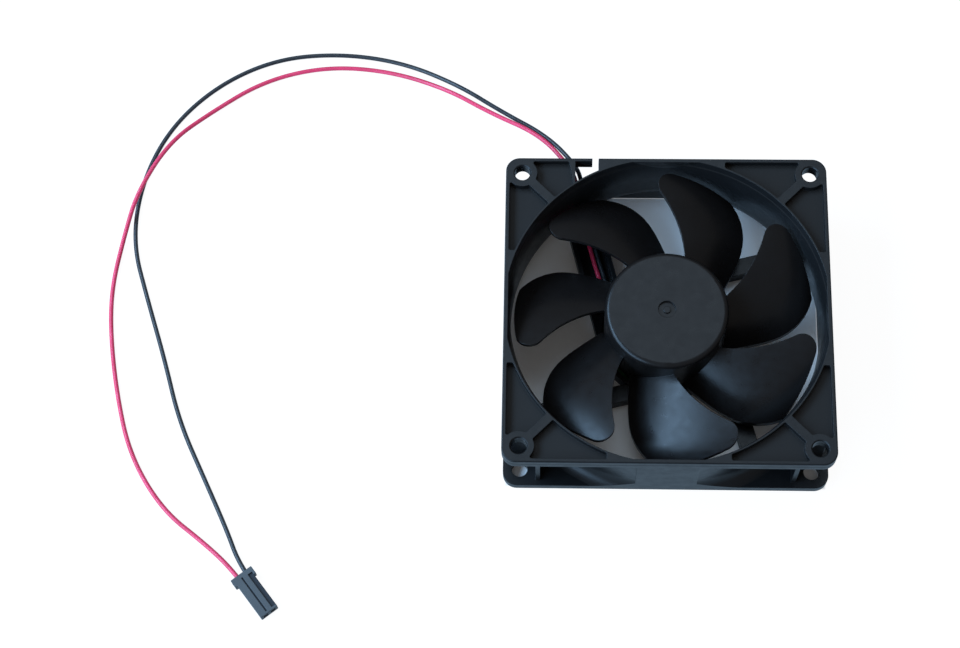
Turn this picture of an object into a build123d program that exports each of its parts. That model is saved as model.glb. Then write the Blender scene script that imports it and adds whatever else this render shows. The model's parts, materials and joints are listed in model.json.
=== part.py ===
from build123d import *
from math import acos, cos, radians, sin, sqrt, tan
import os

# Square axial cooling fan with two loose leads, lying on its rear face.
# The origin is the centre of the rear face, and +Z points out of the front, where air goes in.
# All lengths are in millimetres and all angles in degrees.

os.makedirs("parts", exist_ok=True)

# Frame outline, with its holes measured from the sides
side = 92.0
depth = 25.0
corner_radius = 4.0
edge_round = 0.35
front_flange = 4.0
rear_flange = 3.0
hole_inset = 4.75
hole_radius = 2.25
hole_chamfer = 0.3

# Duct: the throat is measured from the sides, and what flares is measured from the throat
throat_inset = 1.7
mouth_flare = 1.55
lip_flare = 0.85
lip_depth = 2.3
mouth_length = 6.7
exit_flare = 3.8
exit_depth = 1.5
exit_length = 6.5
side_wall = 1.2
duct_wall = 2.1
flare_wall = 2.4
flare_height = 4.8
panel_half_width = 8.6

# Pockets in the front flange, two in each corner
pocket_depth = 2.1
pocket_rim = 1.1
pocket_ring = 0.5
pocket_end_width = 1.8
pocket_boss = 4.3
pocket_rib = 2.6
pocket_round = 0.5

# Lead slot in the front flange with its tongue, and the leaning rib beside it
slot_left = -26.0
slot_right = -19.3
tongue_tip = -21.1
tongue_wall = 1.0
slot_rib_width = 2.0
slot_rib_lean = 1.45
slot_rib_reach = 8.2

# Webs between the flanges, measured from the sides
web_inset = 10.0
web_thickness = 1.3
web_set_back = 1.7

# Motor base, a little wider than the hub, and struts beside it
base_margin = 1.7
base_floor = 1.4
base_rim_wall = 1.2
base_rim_height = 4.8
board_seat_wall = 1.9
board_seat_height = 2.4
recess_margin = 3.7
recess_depth = 0.3
strut_angle = 14.3
strut_count = 4
strut_height = 4.0
strut_width = 5.0
strut_inset = 1.8
strut_seat = 0.1
lead_strut_inset = 0.2
lead_strut_width = 10.2
lead_strut_wall = 1.3
channel_floor = 1.2

# Bearing and shaft
shaft_radius = 1.5
shaft_dome = 0.5
bush_clearance = 0.02
bush_wall = 1.98
bush_bottom = 4.2
bush_length = 11.0
bush_chamfer = 0.3
tube_wall = 1.0
tube_bottom = 0.6
tube_top = 16.0
cap_thickness = 1.0
pad_thickness = 0.6
pad_clearance = 0.1
pad_play = 0.05
clip_radius = 2.7
clip_thickness = 0.5
clip_play = 0.5
clip_gap = 1.0
groove_depth = 0.35
slinger_radius = 2.6
slinger_play = 0.4
slinger_thickness = 0.8

# Impeller and rotor
hub_radius = 17.5
hub_wall = 1.5
hub_top = 23.2
hub_cap = 2.0
hub_bottom = 5.8
hub_round = 1.5
dimple_radius = 2.5
dimple_depth = 0.8
gate_radius = 1.0
gate_height = 0.5
yoke_wall = 1.0
yoke_lift = 0.8
magnet_wall = 2.3
magnet_length = 10.0
magnet_lift = 1.2
insert_radius = 3.5
insert_length = 4.0

# Blades: angle and height of the leading and the trailing edge, from root to tip
blade_count = 7
blade_thickness = 1.5
tip_clearance = 1.1
leading_angle_root = 122.7
leading_swing = 27.5
leading_height_root = 16.6
leading_height_tip = 22.9
trailing_angle_root = 80.5
trailing_swing = 49.0
trailing_dip = -60.0
trailing_curl = 44.8
trailing_height_root = 6.9
trailing_height_tip = 9.2
blade_camber = 0.42
leading_tip_round = 4.0
trailing_tip_round = 1.2
blade_root_sink = 0.8
blade_overrun = 1.0
blade_stations = 6
chord_stations = 10

# Stator
air_gap = 0.3
core_bottom = 8.5
core_height = 5.0
core_ring_wall = 2.0
pole_count = 4
pole_width = 4.0
pole_tip_wall = 1.4
pole_gap = 3.0
pole_gap_reach = 5.6
insulator_wall = 0.7
insulator_flange = 0.8
insulator_rise = 2.4
insulator_side = 0.3
flange_tip_gap = 0.2
coil_build = 2.2
coil_round = 1.2
coil_end_gap = 0.1
leg_size = 1.8
leg_inset = 0.4
pin_radius = 0.35
pin_sink = 2.0
pin_stand = 0.5
pin_angles = (45.0, 135.0, 225.0)

# Circuit board and what is soldered to it: length, width and height, then inset and angle
board_thickness = 1.0
board_edge_clearance = 0.4
board_bore_clearance = 0.2
hall_size = (3.0, 4.0, 1.4)
hall_place = (3.4, 45.0)
chip_size = (4.0, 5.0, 1.5)
chip_place = (4.2, 225.0)
capacitor_size = (1.6, 3.2, 1.2)
capacitor_place = (4.0, 315.0)
component_chamfer = 0.18

# Leads in the lead strut: their places beside the motor base and before the flare's end
lead_radius = 0.65
lead_spacing = 1.5
lead_sway = 0.3
solder_reach = 12.7
channel_start_reach = 9.2
board_leave_reach = 4.2
channel_enter_gap = 1.3
channel_middle_gap = 9.8
channel_joint_inset = 11.5
channel_end_inset = 9.5
bend_start_inset = 5.2
bend_lift_inset = 2.2
bend_side_inset = 1.9
bend_lift_height = 6.0
bend_side_height = 13.0
notch_side_clearance = 0.5
notch_end_clearance = 0.8
notch_top = 7.5

# Routes of the free leads, from where they come out under the front flange
black_route = (
    (-25.7, 46.4, 18.9),
    (-34.2, 56.6, 17.6),
    (-48.1, 68.3, 10.3),
    (-61.5, 80.9, 3.0),
    (-79.1, 89.9, 0.65),
    (-98.6, 92.9, 0.65),
    (-118.3, 90.9, 0.65),
    (-135.9, 81.7, 0.65),
    (-149.5, 67.1, 0.65),
    (-156.8, 48.7, 0.65),
    (-158.0, 28.9, 0.65),
    (-151.9, 10.1, 0.65),
    (-145.5, -8.5, 0.65),
    (-139.9, -27.3, 0.65),
    (-131.2, -44.9, 0.65),
    (-124.0, -59.5, 0.65),
)
red_route = (
    (-27.7, 46.2, 18.9),
    (-36.4, 57.1, 17.6),
    (-51.1, 67.6, 10.4),
    (-65.0, 79.5, 3.1),
    (-83.1, 86.9, 0.65),
    (-102.8, 88.4, 0.65),
    (-121.8, 83.3, 0.65),
    (-137.7, 71.8, 1.2),
    (-148.6, 60.2, 5.0),
    (-157.0, 43.5, 5.0),
    (-160.6, 30.5, 1.2),
    (-163.0, 15.0, 0.65),
    (-162.3, 0.6, 0.65),
    (-158.9, -18.5, 0.65),
    (-153.5, -37.5, 0.65),
    (-142.9, -53.8, 0.65),
    (-129.8, -63.7, 0.65),
)

# Connector
connector_place = (-118.9, -72.6)
connector_angle = -51.5
connector_length = 13.8
connector_width = 5.6
connector_height = 3.0
connector_round = 0.2
collar_length = 2.4
collar_width = 7.0
way_pitch = 2.5
way_height = 1.5
way_size = 1.5
groove_width = 0.45
groove_depth_in_top = 0.45
groove_place = -0.45
groove_start = 1.2
top_end_wall = 0.6
recess_drop = 0.5
recess_edge = 1.35
recess_start = 1.5
lance_window_length = 2.2
lance_window_width = 1.0
lance_window_place = 8.4
wire_hole_length = 2.0
wire_hole_clearance = 0.1
wire_entry = 3.5
wire_straight = 3.0
terminal_clearance = 0.05
terminal_wall = 0.25
terminal_length = 6.2
crimp_length = 3.2
crimp_radius = 0.7

# Largest difference at which two sizes count as the same
same_size = 0.001

# Values worked out from the sizes above
half = side / 2
front_flange_bottom = depth - front_flange
hole_place = half - hole_inset
throat_radius = half - throat_inset
mouth_radius = throat_radius + mouth_flare
lip_radius = throat_radius + lip_flare
exit_radius = throat_radius + exit_flare
outer_radius = throat_radius + duct_wall
flare_radius = exit_radius + flare_wall
flare_top = rear_flange + flare_height
passage_half = half - side_wall
throat_bottom = exit_depth + exit_length
lip_bottom = depth - lip_depth
throat_top = lip_bottom - mouth_length
web_place = half - web_inset
ring_radius = mouth_radius + pocket_ring
pocket_outer = half - pocket_rim
pocket_inner_end = sqrt(ring_radius**2 - (pocket_outer - pocket_end_width) ** 2)
bush_radius = shaft_radius + bush_clearance + bush_wall
bush_top = bush_bottom + bush_length
tube_radius = bush_radius + tube_wall
board_seat_radius = tube_radius + board_seat_wall
base_radius = hub_radius + base_margin
strut_outer_edge = base_radius - strut_inset
lead_strut_outer_edge = base_radius - lead_strut_inset
lead_strut_inner_edge = lead_strut_outer_edge - lead_strut_width
tip_radius = throat_radius - tip_clearance
cap_top = recess_depth + cap_thickness
pad_top = cap_top + pad_thickness
shaft_bottom = pad_top + pad_play
clip_bottom = bush_bottom - clip_play - clip_thickness
slinger_bottom = bush_top + slinger_play
board_bottom = board_seat_height
board_top = board_bottom + board_thickness
board_radius = base_radius - base_rim_wall - board_edge_clearance
yoke_radius = hub_radius - hub_wall
ceiling = hub_top - hub_cap
magnet_radius = yoke_radius - yoke_wall
magnet_bottom = hub_bottom + magnet_lift
stator_radius = magnet_radius - magnet_wall - air_gap
core_top = core_bottom + core_height
core_ring_radius = tube_radius + core_ring_wall
pole_tip_inner = stator_radius - pole_tip_wall
flange_outer = pole_tip_inner - flange_tip_gap
flange_inner = flange_outer - insulator_flange
coil_inner_half = pole_width / 2 + insulator_side
coil_outer_half = coil_inner_half + coil_build
coil_middle = core_bottom + core_height / 2
coil_inner_height = core_height + 2 * insulator_wall
coil_outer_height = coil_inner_height + 2 * coil_build
leg_place = flange_inner - leg_inset
red_offset = lead_strut_inner_edge + lead_strut_width / 2
black_offset = red_offset - lead_spacing
channel_start = base_radius - channel_start_reach
channel_end = flare_radius - channel_end_inset
channel_joint = flare_radius - channel_joint_inset
bend_lift = flare_radius - bend_lift_inset
lead_on_board = board_top + lead_radius
lead_in_channel = channel_floor + lead_radius


def turned(angle, radius=0.0, height=0.0):
    """Plane at a height, turned about the axis, with its origin at a radius."""
    way = (cos(radians(angle)), sin(radians(angle)), 0)
    return Plane(origin=(radius * way[0], radius * way[1], height), x_dir=way, z_dir=(0, 0, 1))


def strut_plane(index, height=0.0):
    """Plane at a height, with its X along the run of a strut."""
    return turned(strut_angle + 360 / strut_count * index, height=height)


def beside_lead_strut(along, offset, height):
    """Point given by its distance along the lead strut's run, its offset and its height."""
    run = radians(strut_angle + 360 / strut_count)
    return (
        along * cos(run) - offset * sin(run),
        along * sin(run) + offset * cos(run),
        height,
    )


def in_connector(along, across, height):
    """Point given by its distance from the connector's wire end, its offset and its height."""
    run = radians(connector_angle)
    return (
        connector_place[0] + along * cos(run) - across * sin(run),
        connector_place[1] + along * sin(run) + across * cos(run),
        height,
    )


def connector_plane(height=0.0):
    """Plane at a height, with its X along the connector from the wire end."""
    return Plane(
        origin=in_connector(0, 0, height),
        x_dir=(cos(radians(connector_angle)), sin(radians(connector_angle)), 0),
        z_dir=(0, 0, 1),
    )


def block(plane, x_range, y_range, height, mode=Mode.ADD):
    """Block on a plane, given by its ranges in the plane's own X and Y."""
    with BuildSketch(plane) as outline:
        with Locations(((x_range[0] + x_range[1]) / 2, (y_range[0] + y_range[1]) / 2)):
            Rectangle(x_range[1] - x_range[0], y_range[1] - y_range[0])
    extrude(outline.sketch, amount=height, mode=mode)


def ring(outer, inner, bottom, height, mode=Mode.ADD):
    """Ring about the axis, or a disc where the inner radius is zero."""
    with BuildSketch(Plane.XY.offset(bottom)) as outline:
        Circle(outer)
        if inner:
            Circle(inner, mode=Mode.SUBTRACT)
    extrude(outline.sketch, amount=height, mode=mode)


def of_radius(circles, radius):
    """Those of the circular edges that have this radius."""
    return circles.filter_by(lambda circle: abs(circle.radius - radius) < same_size)


def on_outline(edges):
    """Those of the edges that lie on the frame's square outline."""

    def reaches(point):
        return max(abs(point.X), abs(point.Y)) > half - same_size

    return edges.filter_by(lambda edge: reaches(edge @ 0) and reaches(edge @ 1))


def finish(builder, name):
    """Label a finished piece and write it."""
    builder.part.label = name
    export_step(builder.part, f"parts/{name}.step")


def bend_radii(points):
    """Radius of each arc of a lead, as large as the two runs beside it allow."""
    radii = []
    for before, here, after in zip(points, points[1:], points[2:]):
        run_in = Vector(*here) - Vector(*before)
        run_out = Vector(*after) - Vector(*here)
        turn = acos(run_in.normalized().dot(run_out.normalized()))
        radii.append(0.45 * min(run_in.length, run_out.length) / tan(turn / 2))
    return radii


def lead(points, name):
    """Tube along straight runs that tangent arcs join."""
    radii = bend_radii(points)
    with BuildPart() as tube:
        with BuildLine():
            route = FilletPolyline(*points, radius=radii)
        with BuildSketch(Plane(origin=route @ 0, z_dir=route % 0)) as section:
            Circle(lead_radius)
        sweep(section.sketch, path=route)
    finish(tube, name)
    share = tube.part.volume / (section.sketch.area * route.length)
    print(name, "length", round(route.length, 1), "least radius", round(min(radii), 2))
    print(name, "volume over section times length", round(share, 4))


# Duct wall: revolved, flared at the rear and cut to the frame's square outline
with BuildPart() as duct:
    with BuildSketch(Plane.XZ):
        with BuildLine():
            Polyline((0, depth), (0, 0), (flare_radius, 0), (flare_radius, rear_flange))
            TangentArc((outer_radius, flare_top), (flare_radius, rear_flange), tangent=(0, -1))
            Polyline((outer_radius, flare_top), (outer_radius, depth), (0, depth))
        make_face()
    revolve(axis=Axis.Z)
    with BuildSketch():
        RectangleRounded(side, side, corner_radius)
    extrude(amount=depth, mode=Mode.INTERSECT)

# Air passage: mouth, throat and exit, with flats where the side walls stand
with BuildPart() as passage:
    with BuildSketch(Plane.XZ):
        with BuildLine():
            Polyline((0, depth), (0, 0), (exit_radius, 0), (exit_radius, exit_depth))
            TangentArc((throat_radius, throat_bottom), (exit_radius, exit_depth), tangent=(0, -1))
            Line((throat_radius, throat_bottom), (throat_radius, throat_top))
            TangentArc((throat_radius, throat_top), (lip_radius, lip_bottom), tangent=(0, 1))
            Polyline((lip_radius, lip_bottom), (mouth_radius, depth), (0, depth))
        make_face()
    revolve(axis=Axis.Z)
    with BuildSketch():
        Rectangle(passage_half * 2, passage_half * 2)
    extrude(amount=depth, mode=Mode.INTERSECT)

# Struts and motor base, which the frame takes in below
with BuildPart() as spider:
    for index in range(strut_count):
        edges_of_strut = (strut_outer_edge - strut_width, strut_outer_edge)
        if index == 1:
            edges_of_strut = (lead_strut_inner_edge, lead_strut_outer_edge)
        block(strut_plane(index), (0, half), edges_of_strut, strut_height)
    with BuildSketch():
        Circle(exit_radius + strut_seat)
    extrude(amount=strut_height, mode=Mode.INTERSECT)
    ring(base_radius, 0, 0, base_rim_height)
    ring(base_radius - base_rim_wall, 0, base_floor, depth, mode=Mode.SUBTRACT)
    ring(board_seat_radius, 0, 0, board_seat_height)
    block(
        strut_plane(1, channel_floor),
        (channel_start, channel_end),
        (lead_strut_inner_edge + lead_strut_wall, lead_strut_outer_edge - lead_strut_wall),
        depth,
        mode=Mode.SUBTRACT,
    )
    ring(tube_radius, 0, tube_bottom, depth, mode=Mode.SUBTRACT)
    ring(bush_radius, 0, 0, depth, mode=Mode.SUBTRACT)
    ring(base_radius - recess_margin, 0, 0, recess_depth, mode=Mode.SUBTRACT)

# Frame: the one moulding that carries everything
with BuildPart() as frame:
    for bottom, thickness in ((0, rear_flange), (front_flange_bottom, front_flange)):
        with BuildSketch(Plane.XY.offset(bottom)):
            RectangleRounded(side, side, corner_radius)
        extrude(amount=thickness)
    add(duct.part)
    # Webs beside each corner, from the duct to a little short of the sides
    web_start = sqrt(outer_radius**2 - web_place**2) - duct_wall / 2
    for turn in range(4):
        for place in (-web_place, web_place):
            block(
                turned(90 * turn, height=rear_flange),
                (web_start, half - web_set_back),
                (place - web_thickness / 2, place + web_thickness / 2),
                front_flange_bottom - rear_flange,
            )
    # Flat panel that stands a little proud of the duct on one side
    block(
        turned(270, height=rear_flange),
        (throat_radius, half),
        (-panel_half_width, panel_half_width),
        front_flange_bottom - rear_flange,
    )
    add(passage.part, mode=Mode.SUBTRACT)
    add(spider.part)
    # Pockets in the front flange, with a leaning rib that ends one of them
    rib_offset = pocket_rib * cos(radians(45))
    pocket_outline = (
        (pocket_inner_end, pocket_inner_end + rib_offset),
        (pocket_inner_end, pocket_outer),
        (hole_place, pocket_outer),
        (hole_place, hole_place + rib_offset),
    )
    rib_foot = slot_left - slot_rib_width
    with BuildSketch(Plane.XY.offset(depth - pocket_depth)) as pockets:
        for x_sign in (-1, 1):
            for y_sign in (-1, 1):
                for corners in (pocket_outline, [(y, x) for x, y in pocket_outline]):
                    with BuildLine():
                        Polyline([(x_sign * x, y_sign * y) for x, y in corners], close=True)
                    make_face()
        Circle(ring_radius, mode=Mode.SUBTRACT)
        with GridLocations(2 * hole_place, 2 * hole_place, 2, 2):
            Circle(pocket_boss, mode=Mode.SUBTRACT)
        with BuildLine():
            Polyline(
                (rib_foot, half),
                (rib_foot + slot_rib_lean, half - slot_rib_reach),
                (0, half - slot_rib_reach),
                (0, half),
                close=True,
            )
        make_face(mode=Mode.SUBTRACT)
        fillet(pockets.vertices(), pocket_round)
    extrude(amount=pocket_depth, mode=Mode.SUBTRACT)
    # Lead slot through the front flange
    with BuildSketch(Plane.XY.offset(front_flange_bottom)):
        with Locations(((slot_left + slot_right) / 2, half / 2 - tongue_wall / 2)):
            Rectangle(slot_right - slot_left, half - tongue_wall)
        with Locations(((tongue_tip + slot_right) / 2, half / 2 + tongue_wall)):
            Rectangle(slot_right - tongue_tip, half + 2 * tongue_wall)
        Circle(ring_radius, mode=Mode.SUBTRACT)
    extrude(amount=front_flange, mode=Mode.SUBTRACT)
    # Notch that lets the leads out of the channel, through the flare
    block(
        strut_plane(1, channel_floor),
        (channel_end - lead_strut_wall, bend_lift + lead_radius + notch_end_clearance),
        (
            black_offset - lead_radius - notch_side_clearance,
            red_offset + lead_radius + notch_side_clearance,
        ),
        notch_top - channel_floor,
        mode=Mode.SUBTRACT,
    )
    # Soft outer edges of both faces
    fillet(on_outline(frame.edges().group_by(Axis.Z)[-1]), edge_round)
    fillet(on_outline(frame.edges().group_by(Axis.Z)[0]), edge_round)
    # Mounting holes through both flanges, with countersunk lips at the front
    with BuildSketch():
        with GridLocations(2 * hole_place, 2 * hole_place, 2, 2):
            Circle(hole_radius)
    extrude(amount=depth, mode=Mode.SUBTRACT)
    front_circles = frame.edges().filter_by(GeomType.CIRCLE).group_by(Axis.Z)[-1]
    chamfer(of_radius(front_circles, hole_radius), hole_chamfer)
finish(frame, "frame")

# Brass tube that the motor base holds
with BuildPart() as bearing_tube:
    ring(tube_radius, bush_radius, tube_bottom, tube_top - tube_bottom)
finish(bearing_tube, "bearing_tube")

# Sintered bush in which the shaft turns
with BuildPart() as sleeve_bush:
    ring(bush_radius, shaft_radius + bush_clearance, bush_bottom, bush_length)
    chamfer(of_radius(sleeve_bush.edges().filter_by(GeomType.CIRCLE), bush_radius), bush_chamfer)
finish(sleeve_bush, "sleeve_bush")

# Cap that closes the tube at the rear
with BuildPart() as end_cap:
    ring(bush_radius, 0, recess_depth, cap_thickness)
finish(end_cap, "end_cap")

# Pad on which the shaft's domed end runs
with BuildPart() as thrust_pad:
    ring(bush_radius - pad_clearance, 0, cap_top, pad_thickness)
finish(thrust_pad, "thrust_pad")

# Shaft, with its dome and the groove for the clip
with BuildPart() as shaft:
    ring(shaft_radius, 0, shaft_bottom, ceiling - shaft_bottom)
    fillet(shaft.edges().sort_by(Axis.Z)[0], shaft_dome)
    ring(
        shaft_radius + groove_depth,
        shaft_radius - groove_depth,
        clip_bottom,
        clip_thickness,
        mode=Mode.SUBTRACT,
    )
finish(shaft, "shaft")

# Split clip that keeps the shaft in the bush
with BuildPart() as retaining_clip:
    ring(clip_radius, shaft_radius - groove_depth, clip_bottom, clip_thickness)
    block(
        Plane.XY.offset(clip_bottom),
        (0, 2 * clip_radius),
        (-clip_gap / 2, clip_gap / 2),
        clip_thickness,
        mode=Mode.SUBTRACT,
    )
finish(retaining_clip, "retaining_clip")

# Washer that throws oil back to the bush
with BuildPart() as oil_slinger:
    ring(slinger_radius, shaft_radius, slinger_bottom, slinger_thickness)
finish(oil_slinger, "oil_slinger")

# Stator laminations
with BuildPart() as stator_core:
    with BuildSketch(Plane.XY.offset(core_bottom)):
        Circle(stator_radius)
        Circle(pole_tip_inner, mode=Mode.SUBTRACT)
        with PolarLocations(stator_radius, pole_count, start_angle=180 / pole_count):
            Rectangle(pole_gap_reach, pole_gap, mode=Mode.SUBTRACT)
        Circle(core_ring_radius)
        with PolarLocations(pole_tip_inner / 2, pole_count):
            Rectangle(pole_tip_inner + pole_tip_wall, pole_width)
        Circle(tube_radius, mode=Mode.SUBTRACT)
    extrude(amount=core_height)
finish(stator_core, "stator_core")


def insulator(face_height, upward):
    """Plate on one face of the core, with a collar at the middle and a flange at each pole."""
    rise = insulator_rise if upward else -insulator_rise
    wall = insulator_wall if upward else -insulator_wall
    with BuildSketch(Plane.XY.offset(face_height)) as plate:
        Circle(core_ring_radius)
        with PolarLocations(flange_outer / 2, pole_count):
            Rectangle(flange_outer, 2 * coil_inner_half)
        Circle(tube_radius, mode=Mode.SUBTRACT)
    extrude(plate.sketch, amount=wall)
    with BuildSketch(Plane.XY.offset(face_height)) as walls:
        Circle(core_ring_radius)
        Circle(core_ring_radius - insulator_flange, mode=Mode.SUBTRACT)
        with PolarLocations(flange_inner + insulator_flange / 2, pole_count):
            Rectangle(insulator_flange, 2 * coil_outer_half)
    extrude(walls.sketch, amount=rise)


with BuildPart() as front_insulator:
    insulator(core_top, True)
finish(front_insulator, "front_insulator")

# The rear insulator also has a leg for each pin, and stands on the board with them
with BuildPart() as rear_insulator:
    insulator(core_bottom, False)
    for angle in pin_angles:
        block(
            turned(angle, height=core_bottom - insulator_wall),
            (core_ring_radius - insulator_flange, leg_place + leg_size / 2),
            (-leg_size / 2, leg_size / 2),
            insulator_wall,
        )
        block(
            turned(angle, leg_place, board_top),
            (-leg_size / 2, leg_size / 2),
            (-leg_size / 2, leg_size / 2),
            core_bottom - board_top,
        )
        with BuildSketch(turned(angle, leg_place, board_top)):
            Circle(pin_radius)
        extrude(amount=pin_sink, mode=Mode.SUBTRACT)
finish(rear_insulator, "rear_insulator")

# Coils, one on each pole
with BuildPart() as windings:
    for index in range(pole_count):
        angle = radians(360 / pole_count * index)
        start = core_ring_radius + coil_end_gap
        coil_plane = Plane(
            origin=(start * cos(angle), start * sin(angle), coil_middle),
            x_dir=(-sin(angle), cos(angle), 0),
            z_dir=(cos(angle), sin(angle), 0),
        )
        with BuildSketch(coil_plane):
            RectangleRounded(2 * coil_outer_half, coil_outer_height, coil_round)
            Rectangle(2 * coil_inner_half, coil_inner_height, mode=Mode.SUBTRACT)
        extrude(amount=flange_inner - start)
finish(windings, "windings")

with BuildPart() as winding_pins:
    for angle in pin_angles:
        with BuildSketch(turned(angle, leg_place, board_bottom - pin_stand)):
            Circle(pin_radius)
        extrude(amount=pin_stand + board_thickness + pin_sink)
finish(winding_pins, "winding_pins")

# Circuit board on its seat
with BuildPart() as circuit_board:
    ring(board_radius, tube_radius + board_bore_clearance, board_bottom, board_thickness)
    for angle in pin_angles:
        with BuildSketch(turned(angle, leg_place, board_bottom)):
            Circle(pin_radius)
        extrude(amount=board_thickness, mode=Mode.SUBTRACT)
finish(circuit_board, "circuit_board")


def on_board(size, place, name):
    """Component that stands on the board, at its inset from the board's edge and its angle."""
    with BuildPart() as component:
        with BuildSketch(turned(place[1], board_radius - place[0], board_top)):
            Rectangle(size[0], size[1])
        extrude(amount=size[2])
        chamfer(component.edges().group_by(Axis.Z)[-1], component_chamfer)
    finish(component, name)


on_board(hall_size, hall_place, "hall_sensor")
on_board(chip_size, chip_place, "driver_chip")
on_board(capacitor_size, capacitor_place, "capacitor")

# Steel cup of the rotor
with BuildPart() as rotor_yoke:
    ring(yoke_radius, magnet_radius, hub_bottom + yoke_lift, ceiling - hub_bottom - yoke_lift)
    ring(yoke_radius, insert_radius, ceiling - yoke_wall, yoke_wall)
finish(rotor_yoke, "rotor_yoke")

with BuildPart() as magnet_ring:
    ring(magnet_radius, magnet_radius - magnet_wall, magnet_bottom, magnet_length)
finish(magnet_ring, "magnet_ring")

with BuildPart() as shaft_insert:
    ring(insert_radius, shaft_radius, ceiling - insert_length, insert_length)
finish(shaft_insert, "shaft_insert")


def span_share(radius):
    """How far a radius lies from the hub to the tip, from 0 to 1."""
    return (radius - hub_radius) / (tip_radius - hub_radius)


def leading_angle(radius):
    """Angle of the leading edge at a radius."""
    return leading_angle_root + leading_swing * span_share(radius)


def trailing_angle(radius):
    """Angle of the trailing edge at a radius."""
    share = span_share(radius)
    bend = trailing_swing * share + trailing_dip * share**2 + trailing_curl * share**3
    return trailing_angle_root + bend


def blade_point(radius, chord):
    """Point of the blade's middle surface: chord 0 is the trailing edge, 1 the leading edge."""
    share = span_share(radius)
    angle = radians(trailing_angle(radius) * (1 - chord) + leading_angle(radius) * chord)
    low = trailing_height_root * (1 - share) + trailing_height_tip * share
    high = leading_height_root * (1 - share) + leading_height_tip * share
    rise = chord + blade_camber * chord * (1 - chord)
    return (radius * cos(angle), radius * sin(angle), low + (high - low) * rise)


def at_radius(radius, angle):
    """Point in the plan view."""
    return (radius * cos(radians(angle)), radius * sin(radians(angle)))


# One blade: a cambered sheet, cut to its outline as seen from the front
root_radius = hub_radius - blade_root_sink
span = tip_radius - root_radius
radii = [root_radius + span * step / blade_stations for step in range(blade_stations + 1)]
sheet_radii = [root_radius - blade_root_sink, *radii[1:], tip_radius + blade_overrun]
sheet_chords = [step / chord_stations for step in range(-1, chord_stations + 2)]
sheet = Face.make_surface_from_array_of_points(
    [[blade_point(radius, chord) for chord in sheet_chords] for radius in sheet_radii]
)
with BuildPart() as blade:
    thicken(sheet, amount=blade_thickness / 2, both=True)
    with BuildSketch() as outline:
        with BuildLine():
            leading_edge = [at_radius(radius, leading_angle(radius)) for radius in radii]
            trailing_edge = [at_radius(radius, trailing_angle(radius)) for radius in radii]
            tip_middle = (leading_angle(tip_radius) + trailing_angle(tip_radius)) / 2
            root_middle = (leading_angle(root_radius) + trailing_angle(root_radius)) / 2
            Spline(leading_edge)
            ThreePointArc(leading_edge[-1], at_radius(tip_radius, tip_middle), trailing_edge[-1])
            Spline(trailing_edge)
            ThreePointArc(leading_edge[0], at_radius(root_radius, root_middle), trailing_edge[0])
        make_face()
        fillet(outline.vertices().sort_by_distance(leading_edge[-1])[0], leading_tip_round)
        fillet(outline.vertices().sort_by_distance(trailing_edge[-1])[0], trailing_tip_round)
    extrude(amount=2 * depth, mode=Mode.INTERSECT)

# Impeller: hub with its dimple and gate mark, and the blades
with BuildPart() as impeller:
    ring(hub_radius, 0, hub_bottom, hub_top - hub_bottom)
    fillet(impeller.edges().group_by(Axis.Z)[-1], hub_round)
    ring(yoke_radius, 0, hub_bottom, ceiling - hub_bottom, mode=Mode.SUBTRACT)
    ring(dimple_radius, 0, hub_top - dimple_depth, dimple_depth, mode=Mode.SUBTRACT)
    ring(gate_radius, 0, hub_top - dimple_depth, gate_height)
    with PolarLocations(0, blade_count):
        add(blade.part)
finish(impeller, "impeller")

# Leads: the stretch in the motor base and the channel, and the free stretch
for name, offset, across, route in (
    ("black_lead", black_offset, way_pitch / 2, black_route),
    ("red_lead", red_offset, -way_pitch / 2, red_route),
):
    channel_enter = base_radius + channel_enter_gap
    channel_middle = base_radius + channel_middle_gap
    lead(
        [
            beside_lead_strut(base_radius - solder_reach, offset, lead_on_board),
            beside_lead_strut(base_radius - board_leave_reach, offset, lead_on_board),
            beside_lead_strut(channel_enter, offset - lead_sway, lead_in_channel),
            beside_lead_strut(channel_middle, offset, lead_in_channel),
            beside_lead_strut(channel_joint, offset, lead_in_channel),
        ],
        name + "_in_strut",
    )
    lead(
        [
            beside_lead_strut(channel_joint, offset, lead_in_channel),
            beside_lead_strut(flare_radius - bend_start_inset, offset, lead_in_channel),
            beside_lead_strut(bend_lift, offset, bend_lift_height),
            beside_lead_strut(flare_radius - bend_side_inset, offset, bend_side_height),
            *route,
            in_connector(-wire_straight, across, way_height),
            in_connector(wire_entry, across, way_height),
        ],
        name,
    )

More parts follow.
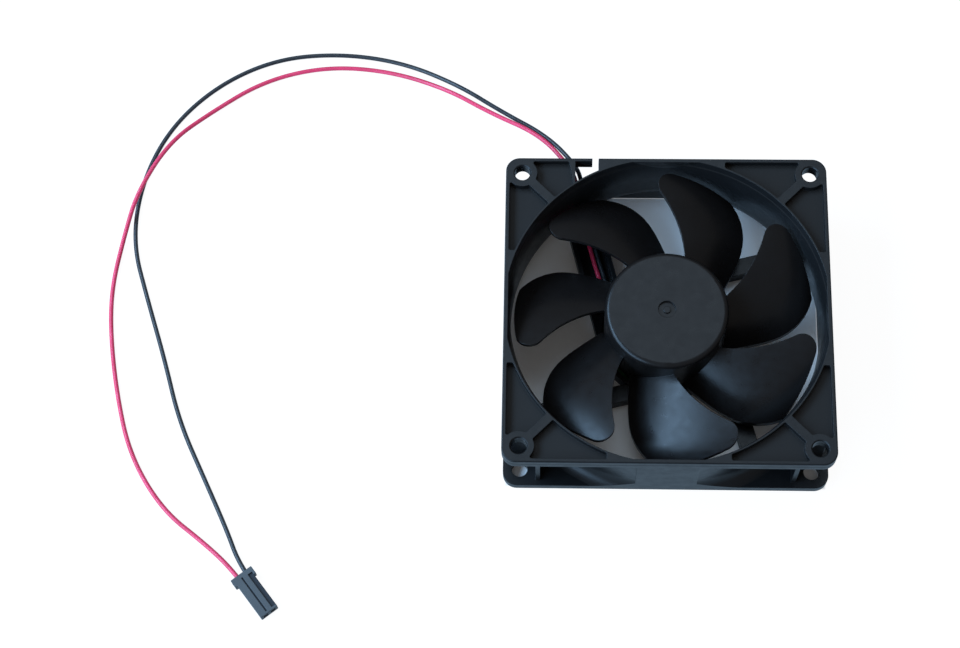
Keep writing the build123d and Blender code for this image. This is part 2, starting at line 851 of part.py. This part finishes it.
# Connector housing: two ways behind a collar
with BuildPart() as connector_housing:
    half_width = connector_width / 2
    block(connector_plane(), (0, connector_length), (-half_width, half_width), connector_height)
    half_collar = collar_width / 2
    block(connector_plane(), (0, collar_length), (-half_collar, half_collar), connector_height)
    fillet(connector_housing.edges().filter_by(Axis.Z), connector_round)
    # Groove along the top, and the lower strip beside it
    block(
        connector_plane(connector_height - groove_depth_in_top),
        (groove_start, connector_length - top_end_wall),
        (groove_place - groove_width / 2, groove_place + groove_width / 2),
        groove_depth_in_top,
        mode=Mode.SUBTRACT,
    )
    block(
        connector_plane(connector_height - recess_drop),
        (recess_start, connector_length - top_end_wall),
        (recess_edge, half_width),
        recess_drop,
        mode=Mode.SUBTRACT,
    )
    for across in (-way_pitch / 2, way_pitch / 2):
        block(
            connector_plane(way_height - way_size / 2),
            (wire_hole_length, connector_length),
            (across - way_size / 2, across + way_size / 2),
            way_size,
            mode=Mode.SUBTRACT,
        )
        block(
            connector_plane(),
            (lance_window_place, lance_window_place + lance_window_length),
            (across - lance_window_width / 2, across + lance_window_width / 2),
            way_height,
            mode=Mode.SUBTRACT,
        )
        start = in_connector(0, across, way_height)
        inward = connector_plane().x_dir
        with BuildSketch(Plane(origin=start, z_dir=inward)):
            Circle(lead_radius + wire_hole_clearance)
        extrude(amount=wire_hole_length, mode=Mode.SUBTRACT)
finish(connector_housing, "connector_housing")

# Crimp terminals: a barrel on the lead's end and a square box for the mating pin
for name, across in (("black_terminal", way_pitch / 2), ("red_terminal", -way_pitch / 2)):
    with BuildPart() as terminal:
        box_start = wire_entry + crimp_length
        box_half = way_size / 2 - terminal_clearance
        block(
            connector_plane(way_height - box_half),
            (box_start, box_start + terminal_length),
            (across - box_half, across + box_half),
            2 * box_half,
        )
        pin_half = box_half - terminal_wall
        block(
            connector_plane(way_height - pin_half),
            (box_start + terminal_wall, box_start + terminal_length),
            (across - pin_half, across + pin_half),
            2 * pin_half,
            mode=Mode.SUBTRACT,
        )
        barrel_start = in_connector(wire_entry, across, way_height)
        with BuildSketch(Plane(origin=barrel_start, z_dir=connector_plane().x_dir)):
            Circle(crimp_radius)
        extrude(amount=crimp_length)
    finish(terminal, name)
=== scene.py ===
import json
from math import cos, radians, sin

import bpy
from mathutils import Matrix, Vector


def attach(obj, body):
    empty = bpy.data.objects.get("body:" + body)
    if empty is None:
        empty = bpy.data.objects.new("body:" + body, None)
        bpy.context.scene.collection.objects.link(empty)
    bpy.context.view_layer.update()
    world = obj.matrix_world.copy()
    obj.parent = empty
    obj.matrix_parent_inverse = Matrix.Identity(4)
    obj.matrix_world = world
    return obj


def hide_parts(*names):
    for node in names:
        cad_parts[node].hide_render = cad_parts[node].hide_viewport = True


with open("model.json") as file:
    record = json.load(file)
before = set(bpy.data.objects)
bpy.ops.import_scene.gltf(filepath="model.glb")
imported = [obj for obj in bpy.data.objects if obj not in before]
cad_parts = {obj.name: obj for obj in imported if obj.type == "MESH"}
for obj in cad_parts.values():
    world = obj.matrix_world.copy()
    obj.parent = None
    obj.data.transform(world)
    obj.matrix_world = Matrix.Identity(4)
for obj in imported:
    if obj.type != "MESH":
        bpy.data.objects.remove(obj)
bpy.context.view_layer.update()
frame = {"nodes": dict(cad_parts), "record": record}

# Camera, fitted to the photo's perspective
CAMERA_PLACE = (-0.031289, -0.216593, 0.571964)
CAMERA_RIGHT = (0.99931, 0.02078, -0.03082)
CAMERA_UP = (-0.0083, 0.93288, 0.36009)
CAMERA_BACK = (0.03623, -0.35959, 0.93241)
CAMERA_LENS = 78.4
SENSOR_WIDTH = 36.0

# Leads and their route, in metres
LEAD_DIAMETER = 0.0013
LEAD_STRUT_ANGLE = 104.3
BLACK_OFFSET = 0.0124
RED_OFFSET = 0.0139
CHANNEL_HEIGHT = 0.00185
CHANNEL_JOINT = 0.039
BEND_START = 0.0453
BEND_LIFT = 0.0483
BEND_SIDE = 0.0486
BEND_LIFT_HEIGHT = 0.006
BEND_SIDE_HEIGHT = 0.013
BLACK_ROUTE = (
    (-0.0257, 0.0464, 0.0189),
    (-0.0342, 0.0566, 0.0176),
    (-0.0481, 0.0683, 0.0103),
    (-0.0615, 0.0809, 0.0030),
    (-0.0791, 0.0899, 0.00065),
    (-0.0986, 0.0929, 0.00065),
    (-0.1183, 0.0909, 0.00065),
    (-0.1359, 0.0817, 0.00065),
    (-0.1495, 0.0671, 0.00065),
    (-0.1568, 0.0487, 0.00065),
    (-0.1580, 0.0289, 0.00065),
    (-0.1519, 0.0101, 0.00065),
    (-0.1455, -0.0085, 0.00065),
    (-0.1399, -0.0273, 0.00065),
    (-0.1312, -0.0449, 0.00065),
    (-0.1240, -0.0595, 0.00065),
)
RED_ROUTE = (
    (-0.0277, 0.0462, 0.0189),
    (-0.0364, 0.0571, 0.0176),
    (-0.0511, 0.0676, 0.0104),
    (-0.0650, 0.0795, 0.0031),
    (-0.0831, 0.0869, 0.00065),
    (-0.1028, 0.0884, 0.00065),
    (-0.1218, 0.0833, 0.00065),
    (-0.1377, 0.0718, 0.0012),
    (-0.1486, 0.0602, 0.0050),
    (-0.1570, 0.0435, 0.0050),
    (-0.1606, 0.0305, 0.0012),
    (-0.1630, 0.0150, 0.00065),
    (-0.1623, 0.0006, 0.00065),
    (-0.1589, -0.0185, 0.00065),
    (-0.1535, -0.0375, 0.00065),
    (-0.1429, -0.0538, 0.00065),
    (-0.1298, -0.0637, 0.00065),
)

# Connector
CONNECTOR_PLACE = (-0.1189, -0.0726)
CONNECTOR_ANGLE = -51.5
WAY_OFFSET = 0.00125
WAY_HEIGHT = 0.0015
WIRE_STRAIGHT = 0.003
WIRE_ENTRY = 0.0035

# Finishes: scales of their noise, the range of it that counts, and how strongly plastic reflects
MOTTLE_SCALE = 90.0
GLOSS_SCALE = 400.0
GRAIN_SCALE = 3500.0
METAL_LINE_SCALE = 2500.0
METAL_WEAR_SCALE = 300.0
SCUFF_SCALE = 260.0
INSULATION_GRAIN_SCALE = 2200.0
NOISE_LOW = 0.3
NOISE_HIGH = 0.7
FINE_RELIEF = 0.00001
PLASTIC_GLOSS = 0.3

# Heights between which the floor of the flange's pockets lies, and the connector's groove and recess,
# whose darker colour is painted shade
POCKET_FLOOR = (0.0227, 0.0231)
CONNECTOR_RECESS_SHADE = (0.0024, 0.0026)

# Area lights, all turned to the fan: name, place, size, power and colour
LIGHTS = (
    ("window", (-0.74, 0.14, 0.72), (0.80, 0.38), 10.5, (0.40, 0.67, 1.0)),
    ("low window", (-0.80, -0.52, 0.46), (1.0, 0.60), 11.0, (0.40, 0.67, 1.0)),
    ("sky", (-0.06, 0.42, 1.02), (0.7, 0.7), 2.5, (0.62, 0.81, 1.0)),
)
ROOM_COLOUR = (1.0, 0.97, 0.95, 1)
ROOM_STRENGTH = 0.21

# Table: its own colour, what its sheen shows, and how white it looks beside and under the fan
WHITE = (1, 1, 1, 1)
TABLE_HALF = 1.5
TABLE_COLOUR = (0.88, 0.87, 0.86, 1)
TABLE_ROUGHNESS = 0.9
SHEEN_COLOUR = (0.34, 0.50, 0.66, 1)
FOOTPRINT_HALF = 0.0455
FOOTPRINT_BLUR = 0.001
WHITE_SHARE = 0.86
UNDER_SHARE = 0.02
WHITE_STRENGTH = 1.1


def link(piece):
    """Put a new object in the scene."""
    bpy.context.scene.collection.objects.link(piece)
    return piece


class Nodes:
    """Short way to add and join the nodes of one material."""

    def __init__(self, name):
        self.material = bpy.data.materials.new(name)
        self.material.use_nodes = True
        self.tree = self.material.node_tree
        self.shader = self.tree.nodes["Principled BSDF"]
        self.output = self.tree.nodes["Material Output"]

    def add(self, kind, inputs=None, **settings):
        """Add a node, with its settings and its inputs: a value or another node's socket."""
        node = self.tree.nodes.new(kind)
        for name, value in settings.items():
            setattr(node, name, value)
        for name, value in (inputs or {}).items():
            self.set(node, name, value)
        return node

    def set(self, node, name, value):
        """Give one input a value or a link."""
        if isinstance(value, bpy.types.NodeSocket):
            self.tree.links.new(value, node.inputs[name])
        else:
            node.inputs[name].default_value = value

    def noise(self, scale, detail=2.0, stretch=(1, 1, 1)):
        """Noise in the object's own coordinates, where one unit of scale is one per metre."""
        coordinates = self.add("ShaderNodeTexCoord").outputs["Object"]
        mapped = self.add("ShaderNodeMapping", {"Vector": coordinates, "Scale": stretch})
        place = {"Vector": mapped.outputs["Vector"], "Scale": scale, "Detail": detail}
        return self.add("ShaderNodeTexNoise", place).outputs["Fac"]

    def mapped(self, value, low, high, out_low=0.0, out_high=1.0):
        """A value taken from one range to another and held there."""
        inputs = {"Value": value, 1: low, 2: high, 3: out_low, 4: out_high}
        return self.add("ShaderNodeMapRange", inputs).outputs["Result"]

    def math(self, operation, *values):
        """Result of one operation on values or sockets."""
        inputs = dict(enumerate(values))
        return self.add("ShaderNodeMath", inputs, operation=operation).outputs[0]

    def at_height(self, low, high):
        """One between two heights of the object, and zero elsewhere."""
        place = self.add("ShaderNodeTexCoord").outputs["Object"]
        height = self.add("ShaderNodeSeparateXYZ", {"Vector": place}).outputs["Z"]
        return self.math("COMPARE", height, (low + high) / 2, (high - low) / 2)

    def mixed(self, share, first, second):
        """Colour between two others."""
        node = self.add("ShaderNodeMix", data_type="RGBA")
        self.set(node, "Factor", share)
        self.set(node, 6, first)
        self.set(node, 7, second)
        return node.outputs[2]

    def bump(self, height, distance, strength=1.0, edge=0.0):
        """Surface normal with relief, and edges that look slightly rounded."""
        inputs = {"Height": height, "Distance": distance, "Strength": strength}
        if edge:
            inputs["Normal"] = self.add("ShaderNodeBevel", {"Radius": edge}, samples=6).outputs[0]
        self.set(self.shader, "Normal", self.add("ShaderNodeBump", inputs).outputs["Normal"])


def moulded_plastic(name, colour, mottle, roughness, grain=0.00002, edge=0.00025, sunk=None):
    """Moulded plastic: fine spark grain, a faint mottle in colour and gloss, soft edges.

    sunk gives another colour and gloss to what lies between two heights; on the connector that colour
    is painted shade.
    """
    nodes = Nodes(name)
    broad = nodes.noise(MOTTLE_SCALE, 4.0)
    tint = nodes.mixed(nodes.mapped(broad, NOISE_LOW, NOISE_HIGH), colour, mottle)
    sheen = nodes.noise(GLOSS_SCALE, 3.0)
    gloss = nodes.mapped(sheen, NOISE_LOW, NOISE_HIGH, roughness - 0.04, roughness + 0.05)
    if sunk:
        share = nodes.at_height(*sunk["heights"])
        tint = nodes.mixed(share, tint, sunk["colour"])
        inputs = {"Factor": share, 2: gloss, 3: sunk["roughness"]}
        gloss = nodes.add("ShaderNodeMix", inputs).outputs[0]
    nodes.set(nodes.shader, "Base Color", tint)
    nodes.set(nodes.shader, "Roughness", gloss)
    nodes.set(nodes.shader, "Specular IOR Level", PLASTIC_GLOSS)
    nodes.bump(nodes.noise(GRAIN_SCALE, 2.0), grain, 1.0, edge)
    return nodes.material


def metal(name, colour, tarnish, roughness, stretch=(1, 1, 1)):
    """Bare metal with fine lines along its working direction."""
    nodes = Nodes(name)
    nodes.set(nodes.shader, "Metallic", 1.0)
    lines = nodes.noise(METAL_LINE_SCALE, 3.0, stretch)
    tint = nodes.mixed(nodes.mapped(lines, NOISE_LOW, NOISE_HIGH), colour, tarnish)
    nodes.set(nodes.shader, "Base Color", tint)
    wear = nodes.noise(METAL_WEAR_SCALE)
    worn = nodes.mapped(wear, NOISE_LOW, NOISE_HIGH, roughness - 0.05, roughness + 0.08)
    nodes.set(nodes.shader, "Roughness", worn)
    nodes.bump(lines, FINE_RELIEF, 0.6)
    return nodes.material


def insulation(name, colour, deep, roughness):
    """Extruded insulation of a lead, with faint scuffs along it."""
    nodes = Nodes(name)
    scuff = nodes.noise(SCUFF_SCALE, 4.0)
    tint = nodes.mixed(nodes.mapped(scuff, 0.35, NOISE_HIGH), colour, deep)
    nodes.set(nodes.shader, "Base Color", tint)
    gloss = nodes.mapped(scuff, NOISE_LOW, NOISE_HIGH, roughness - 0.05, roughness + 0.08)
    nodes.set(nodes.shader, "Roughness", gloss)
    nodes.bump(nodes.noise(INSULATION_GRAIN_SCALE, 2.0), FINE_RELIEF)
    return nodes.material


PLASTICS = {
    "frame_plastic": (
        (0.008, 0.0083, 0.009, 1),
        (0.011, 0.0113, 0.012, 1),
        0.34,
        {"sunk": {"heights": POCKET_FLOOR, "colour": (0.015, 0.013, 0.012, 1), "roughness": 0.62}},
    ),
    "impeller_plastic": (
        (0.0078, 0.0066, 0.0064, 1),
        (0.0105, 0.0090, 0.0088, 1),
        0.31,
        {"grain": FINE_RELIEF},
    ),
    "connector_plastic": (
        (0.082, 0.087, 0.090, 1),
        (0.098, 0.104, 0.107, 1),
        0.5,
        # Darker colour in the connector's recess and groove: painted shade
        {"sunk": {"heights": CONNECTOR_RECESS_SHADE, "colour": (0.027, 0.031, 0.038, 1), "roughness": 0.6}},
    ),
    "insulator_plastic": ((0.78, 0.75, 0.66, 1), (0.70, 0.67, 0.58, 1), 0.45, {}),
    "component_plastic": ((0.02, 0.02, 0.02, 1), (0.03, 0.03, 0.03, 1), 0.5, {}),
    "pad_plastic": ((0.80, 0.80, 0.77, 1), (0.72, 0.72, 0.70, 1), 0.35, {}),
    "rubber_black": ((0.02, 0.02, 0.02, 1), (0.03, 0.03, 0.03, 1), 0.7, {}),
    "magnet": ((0.06, 0.055, 0.05, 1), (0.09, 0.08, 0.07, 1), 0.65, {}),
    "board": ((0.04, 0.16, 0.06, 1), (0.05, 0.20, 0.08, 1), 0.35, {}),
    "copper": ((0.45, 0.14, 0.04, 1), (0.60, 0.22, 0.08, 1), 0.3, {}),
}
METALS = {
    "yoke_steel": ((0.45, 0.45, 0.43, 1), (0.36, 0.36, 0.35, 1), 0.38),
    "steel": ((0.60, 0.60, 0.60, 1), (0.50, 0.50, 0.50, 1), 0.2, (1, 1, 12)),
    "core_steel": ((0.30, 0.30, 0.31, 1), (0.20, 0.20, 0.21, 1), 0.45, (1, 1, 0.1)),
    "brass": ((0.66, 0.46, 0.16, 1), (0.52, 0.36, 0.13, 1), 0.3, (1, 1, 8)),
    "sintered_bronze": ((0.36, 0.24, 0.12, 1), (0.24, 0.16, 0.08, 1), 0.55),
    "terminal_metal": ((0.68, 0.66, 0.60, 1), (0.56, 0.54, 0.48, 1), 0.25),
}
INSULATIONS = {
    "red_insulation": ((0.92, 0.052, 0.14, 1), (0.80, 0.038, 0.105, 1), 0.34),
    "black_insulation": ((0.021, 0.023, 0.026, 1), (0.030, 0.033, 0.037, 1), 0.36),
}


def make_finishes():
    """One material for each slot."""
    finishes = {}
    for slot, (colour, mottle, roughness, options) in PLASTICS.items():
        finishes[slot] = moulded_plastic(slot, colour, mottle, roughness, **options)
    for slot, values in METALS.items():
        finishes[slot] = metal(slot, *values)
    for slot, values in INSULATIONS.items():
        finishes[slot] = insulation(slot, *values)
    return finishes


FINISHES = make_finishes()


def paint(piece, material):
    """One material all over a piece."""
    piece.data.materials.clear()
    piece.data.materials.append(material)


def dress_nodes():
    """Give every CAD node the finish of its slot."""
    for entry in frame["record"]["subparts"]:
        paint(frame["nodes"][entry["node"]], FINISHES[entry["material_slot"]])


def beside_lead_strut(along, offset, height):
    """Point given by its distance along the lead strut's run, its offset and its height."""
    run = radians(LEAD_STRUT_ANGLE)
    return (along * cos(run) - offset * sin(run), along * sin(run) + offset * cos(run), height)


def in_connector(along, across):
    """Point given by its distance from the connector's wire end and its offset."""
    run = radians(CONNECTOR_ANGLE)
    return (
        CONNECTOR_PLACE[0] + along * cos(run) - across * sin(run),
        CONNECTOR_PLACE[1] + along * sin(run) + across * cos(run),
        WAY_HEIGHT,
    )


def smooth_lead(name, points):
    """Round lead along a smooth curve that follows the points."""
    curve = bpy.data.curves.new(name, "CURVE")
    curve.dimensions = "3D"
    curve.bevel_depth = LEAD_DIAMETER / 2
    curve.bevel_resolution = 6
    curve.use_fill_caps = True
    curve.resolution_u = 16
    spline = curve.splines.new("NURBS")
    spline.points.add(len(points) - 1)
    for place, point in zip(spline.points, points):
        place.co = (*point, 1)
    spline.order_u = 3
    spline.use_endpoint_u = True
    return link(bpy.data.objects.new(name, curve))


def add_lead(name, slot, offset, across, route):
    """Free lead from the strut's channel to the connector."""
    points = [
        beside_lead_strut(CHANNEL_JOINT, offset, CHANNEL_HEIGHT),
        beside_lead_strut(BEND_START, offset, CHANNEL_HEIGHT),
        beside_lead_strut(BEND_LIFT, offset, BEND_LIFT_HEIGHT),
        beside_lead_strut(BEND_SIDE, offset, BEND_SIDE_HEIGHT),
        *route,
        in_connector(-WIRE_STRAIGHT, across),
        in_connector(WIRE_ENTRY, across),
    ]
    piece = smooth_lead(name, points)
    paint(piece, FINISHES[slot])
    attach(piece, "housing")
    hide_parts(name.replace("_line", ""))


def add_leads():
    """The two free leads, which both end in the connector."""
    add_lead("black_lead_line", "black_insulation", BLACK_OFFSET, WAY_OFFSET, BLACK_ROUTE)
    add_lead("red_lead_line", "red_insulation", RED_OFFSET, -WAY_OFFSET, RED_ROUTE)


def add_camera():
    """Camera at the photo's viewpoint."""
    data = bpy.data.cameras.new("camera")
    data.sensor_fit = "HORIZONTAL"
    data.sensor_width = SENSOR_WIDTH
    data.lens = CAMERA_LENS
    data.clip_start = 0.01
    camera = link(bpy.data.objects.new("camera", data))
    turn = Matrix((CAMERA_RIGHT, CAMERA_UP, CAMERA_BACK)).transposed().to_4x4()
    camera.matrix_world = Matrix.Translation(CAMERA_PLACE) @ turn
    bpy.context.scene.camera = camera


def add_area_light(name, place, size, power, colour):
    """Soft light that is turned to the fan."""
    data = bpy.data.lights.new(name, "AREA")
    data.shape = "RECTANGLE"
    data.size, data.size_y = size
    data.energy = power
    data.color = colour
    light = link(bpy.data.objects.new(name, data))
    light.location = place
    light.rotation_euler = (-Vector(place)).to_track_quat("-Z", "Y").to_euler()


def add_lights():
    """Window light from the left and a dim room, which the camera sees as white."""
    for light in LIGHTS:
        add_area_light(*light)
    world = bpy.data.worlds.new("room")
    world.use_nodes = True
    tree = world.node_tree
    room = tree.nodes["Background"]
    room.inputs["Color"].default_value = ROOM_COLOUR
    room.inputs["Strength"].default_value = ROOM_STRENGTH
    backdrop = tree.nodes.new("ShaderNodeBackground")
    backdrop.inputs["Color"].default_value = WHITE
    seen = tree.nodes.new("ShaderNodeLightPath")
    mix = tree.nodes.new("ShaderNodeMixShader")
    tree.links.new(seen.outputs["Is Camera Ray"], mix.inputs["Fac"])
    tree.links.new(room.outputs["Background"], mix.inputs[1])
    tree.links.new(backdrop.outputs["Background"], mix.inputs[2])
    tree.links.new(mix.outputs["Shader"], tree.nodes["World Output"].inputs["Surface"])
    bpy.context.scene.world = world


def table_material():
    """White table that keeps a faint shadow, and is plain where the fan stands on it."""
    nodes = Nodes("table")
    nodes.set(nodes.shader, "Base Color", TABLE_COLOUR)
    nodes.set(nodes.shader, "Roughness", TABLE_ROUGHNESS)
    place = nodes.add("ShaderNodeTexCoord").outputs["Object"]
    apart = nodes.add("ShaderNodeVectorMath", {0: place}, operation="ABSOLUTE").outputs["Vector"]
    sides = nodes.add("ShaderNodeSeparateXYZ", {"Vector": apart})
    far = nodes.math("MAXIMUM", sides.outputs["X"], sides.outputs["Y"])
    inner = FOOTPRINT_HALF - FOOTPRINT_BLUR
    outside = nodes.mapped(far, inner, FOOTPRINT_HALF, UNDER_SHARE, WHITE_SHARE)
    rays = nodes.add("ShaderNodeLightPath").outputs
    mirrored = nodes.math("MAXIMUM", rays["Is Camera Ray"], rays["Is Glossy Ray"])
    seen = nodes.math("MAXIMUM", mirrored, rays["Is Transmission Ray"])
    share = nodes.math("MULTIPLY", seen, outside)
    colour = nodes.mixed(rays["Is Camera Ray"], SHEEN_COLOUR, WHITE)
    white = nodes.add("ShaderNodeEmission", {"Color": colour, "Strength": WHITE_STRENGTH})
    inputs = {0: share, 1: nodes.shader.outputs[0], 2: white.outputs[0]}
    nodes.set(nodes.output, "Surface", nodes.add("ShaderNodeMixShader", inputs).outputs[0])
    return nodes.material


def add_table():
    """Table top under the object."""
    mesh = bpy.data.meshes.new("table")
    half = TABLE_HALF
    corners = [(-half, -half, 0), (half, -half, 0), (half, half, 0), (-half, half, 0)]
    mesh.from_pydata(corners, [], [(0, 1, 2, 3)])
    table = link(bpy.data.objects.new("table", mesh))
    paint(table, table_material())


dress_nodes()
add_leads()
add_camera()
add_lights()
add_table()
bpy.context.scene.view_settings.view_transform = "Standard"
bpy.context.view_layer.update()
